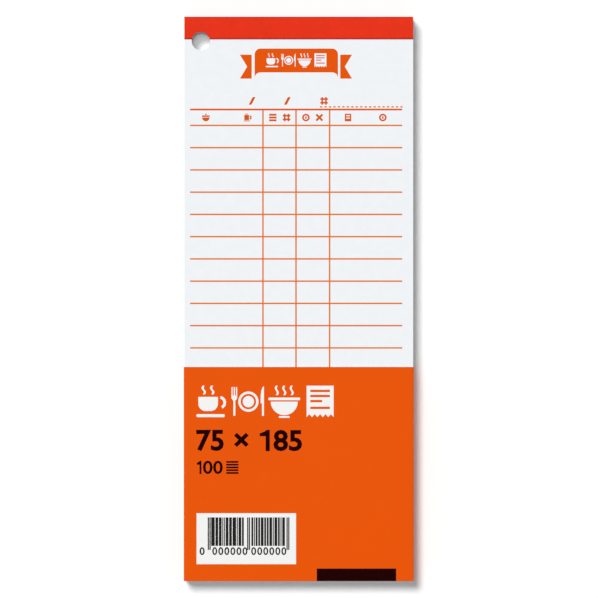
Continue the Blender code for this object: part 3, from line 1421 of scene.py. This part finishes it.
@dataclass
class BandPrint:
    """The print on the band's front. Its places are millimetres from the pad's upper left corner."""

    band: BellyBand
    film: float = 0.007 * MM
    lift: float = 0.001 * MM
    cell: float = 2.0
    sliver: float = 0.002
    sign_corner: Point = (3.7, 131.7)
    sign_pitch: float = 11.75
    sign_size: float = 11.1
    size_line: FigureLine = FigureLine(
        142.4, 135.4, 1.35, 28.0, (("75 ×", 3.9, 21.1), ("1", 24.7, 28.0), ("85", 29.2, 38.6)))
    count_line: FigureLine = FigureLine(149.9, 145.5, 0.62, 18.0, (("1", 4.1, 5.6), ("00", 6.1, 12.6)))
    stack_left: float = 13.6
    stack_size: float = 4.3
    field_low: Point = (4.0, 179.44)
    field_high: Point = (36.62, 162.72)
    seed: int = 5
    module: float = 0.2805
    bar_left: float = 7.67
    bar_top: float = 164.1
    bar_foot: float = 173.45
    bar_spread: float = 0.2
    bar_modules: int = 92
    bar_start: int = 4
    bar_widths: tuple[int, ...] = (1, 2, 3, 3, 4)
    bar_gaps: tuple[int, ...] = (1, 1, 1, 2)
    guards: tuple[int, ...] = (0, 2, 46, 48, 92, 94)
    guard_foot: float = 174.75
    guard_spread: float = 0.45
    digit_groups: tuple[tuple[float, int], ...] = ((5.0, 1), (9.15, 6), (21.9, 6))
    digit_pitch: float = 1.98
    digit_width: float = 1.65
    digit_rows: Span = (176.45, 173.85)
    digit_weight: float = 22.0
    foot_bar_low: Point = (43.4, 184.97)
    foot_bar_high: Point = (69.42, 180.86)

    def _lay(self, art: Mesh, name: str, material: Material, layer: int = 0) -> None:
        """Lays flat art on the bowed front.

        Args:
            art: Flat faces, in millimetres.
            name: What the piece is called.
            material: Its ink.
            layer: 0 for ink on the band, 1 for ink on other ink.
        """
        for axis in (0, 1):
            low, high = span_of(art, axis)
            cut_across(art, axis, steps_between(low, high, max(1, math.ceil((high - low) / self.cell))))
        bmesh.ops.remove_doubles(art, verts=art.verts, dist=self.sliver)
        bmesh.ops.scale(art, vec=(MM, MM, MM), verts=art.verts)
        thicken(art, self.film)
        base = self.band.places.band_front + self.band.front_ease
        base += self.lift + layer * (self.film + self.lift)
        for vert in art.verts:
            vert.co.z += base + self.band.rise(vert.co.x, vert.co.y)
        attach(add_piece(art, name, [material]), "band")

    def _bars(self) -> list[Loop]:
        """Draws plain bars that spell nothing, in three pairs of guards and runs between them.

        Returns:
            Their outlines.
        """
        draw = random.Random(self.seed)
        guards = set(self.guards)
        spans = [(place, 1) for place in self.guards]
        place = self.bar_start
        while place < self.bar_modules - 1:
            width = draw.choice(self.bar_widths)
            near = set(range(place - 1, place + width + 1))
            if not guards & near and place + width < self.bar_modules:
                spans.append((place, width))
            place += width + draw.choice(self.bar_gaps)
        bars = []
        for place, width in spans:
            guard = place in guards
            spread = self.guard_spread if guard else self.bar_spread
            left = self.bar_left + self.module * place
            low = self.band.places.spot(left, self.guard_foot if guard else self.bar_foot)
            bars.append(box(low, self.band.places.spot(left + self.module * (width + spread), self.bar_top)))
        return bars

    def _label(self) -> None:
        """The label: a white field with plain bars, and zeros under them."""
        spot, finishes = self.band.places.spot, self.band.finishes
        field = filled([box(spot(*self.field_low), spot(*self.field_high))])
        self._lay(field, "band_label_field", finishes.band_white)
        foot, top = self.digit_rows
        lefts = [start + self.digit_pitch * step
                 for start, count in self.digit_groups for step in range(count)]
        digits = [lettered("0", spot(left, foot), spot(left + self.digit_width, top), self.digit_weight)
                  for left in lefts]
        bars = gathered([filled(self._bars()), *digits])
        self._lay(bars, "band_label_bars", finishes.bar_black, layer=1)

    def build(self) -> None:
        """Prints the table signs, the pad's size and count of sheets, the label and the dark foot bar."""
        places, finishes = self.band.places, self.band.finishes
        signs = table_signs(places.spot(*self.sign_corner), self.sign_pitch, self.sign_size)
        self._lay(filled(signs), "band_table_signs", finishes.band_white)
        stack = Pictogram.STACK.placed(places.spot(self.stack_left, self.count_line.foot), self.stack_size)
        numbers = gathered([*self.size_line.art(places), *self.count_line.art(places), filled(stack)])
        self._lay(numbers, "band_numbers", finishes.band_dark)
        self._label()
        foot_bar = filled([box(places.spot(*self.foot_bar_low), places.spot(*self.foot_bar_high))])
        self._lay(foot_bar, "band_foot_bar", finishes.band_dark)


# The studio


@dataclass
class Studio:
    """A plain pale floor under soft light, and a long lens straight above the pad."""

    places: PadPlaces
    view_width: float = 196.0 * MM
    camera_height: float = 1.4
    look_at: Triple = (0.08 * MM, -0.03 * MM, 10.0 * MM)
    sensor: float = 36.0
    clip: Span = (0.01, 50.0)
    sky: float = 0.20
    sun: float = 2.71
    sun_size: float = 18.0
    sun_run: Triple = (0.24, -0.35, -1.0)
    floor_reach: float = 3.0
    floor_white: float = 0.90
    floor_glow: float = 0.13
    # Painted light: the floor glows more under the punched hole, which no lamp does
    hole_painted_light: float = 0.42
    hole_painted_light_reach: float = 6.0 * MM
    hole_painted_light_shift: Triple = (1.5 * MM, -1.5 * MM, 0.0)

    def _camera(self) -> None:
        """The camera."""
        lens = bpy.data.cameras.new("camera")
        lens.sensor_width = self.sensor
        lens.lens = self.sensor * self.camera_height / self.view_width
        lens.clip_start, lens.clip_end = self.clip
        camera = in_scene("camera", lens)
        camera.location = Vector(self.look_at) + Vector((0.0, 0.0, self.camera_height))
        bpy.context.scene.camera = camera

    def _sky(self) -> None:
        """Even light from all round, with a white background behind it."""
        world = bpy.data.worlds.new("sky")
        world.use_nodes = True
        bpy.context.scene.world = world
        wiring = Wiring(world.node_tree)
        background = wiring.nodes["Background"]
        wiring.feed(background.inputs["Color"], WHITE)
        wiring.feed(background.inputs["Strength"], wiring.remap(wiring.seen(), 0.0, 1.0, self.sky, 1.0))

    def _sun(self) -> None:
        """A large soft lamp from the upper left."""
        lamp = bpy.data.lights.new("key", "SUN")
        lamp.energy = self.sun
        lamp.angle = math.radians(self.sun_size)
        key = in_scene("key", lamp)
        key.rotation_mode = "QUATERNION"
        key.rotation_quaternion = Vector(self.sun_run).to_track_quat("-Z", "Y")

    def _floor(self) -> None:
        """The floor, which keeps the pad's shadow. Under the punched hole it glows more for the camera alone,
        a painted pool of light seen through the hole.
        """
        recipe = Recipe("floor_white")
        recipe.surface((self.floor_white,) * 3, 1.0, 0.0)
        spot = Vector((*self.places.hole, 0.0)) + Vector(self.hole_painted_light_shift)
        away = recipe.add("VectorMath", {0: recipe.place, 1: tuple(spot)}, operation="DISTANCE")
        # The floor's even brightness, with a painted pool of light added under the hole
        glow_and_painted_light = recipe.remap(away.outputs["Value"], 0.0, self.hole_painted_light_reach,
                            self.floor_glow + self.hole_painted_light, self.floor_glow)
        recipe.feed(recipe.shader.inputs["Emission Color"], WHITE)
        recipe.feed(recipe.shader.inputs["Emission Strength"],
                    recipe.remap(recipe.seen(), 0.0, 1.0, 0.0, glow_and_painted_light))
        ground = bmesh.new()
        bmesh.ops.create_grid(ground, x_segments=2, y_segments=2, size=self.floor_reach)
        floor = in_scene("floor", stored(ground, "floor"))
        floor.data.materials.append(recipe.material)

    def build(self) -> None:
        """Sets up the view and the light."""
        bpy.context.scene.view_settings.view_transform = "Standard"
        self._camera()
        self._sky()
        self._sun()
        self._floor()


def main() -> None:
    """Builds the pad and its studio in order."""
    logging.basicConfig(level=logging.INFO, format="%(name)s %(message)s")
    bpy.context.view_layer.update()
    places = PadPlaces.read()
    finishes = Finishes(places)
    SheetStack(places, finishes).build()
    HeadBinding(places, finishes).build()
    band = BellyBand(places, finishes)
    band.build()
    BandPrint(band).build()
    Studio(places).build()


if __name__ == "__main__":
    main()
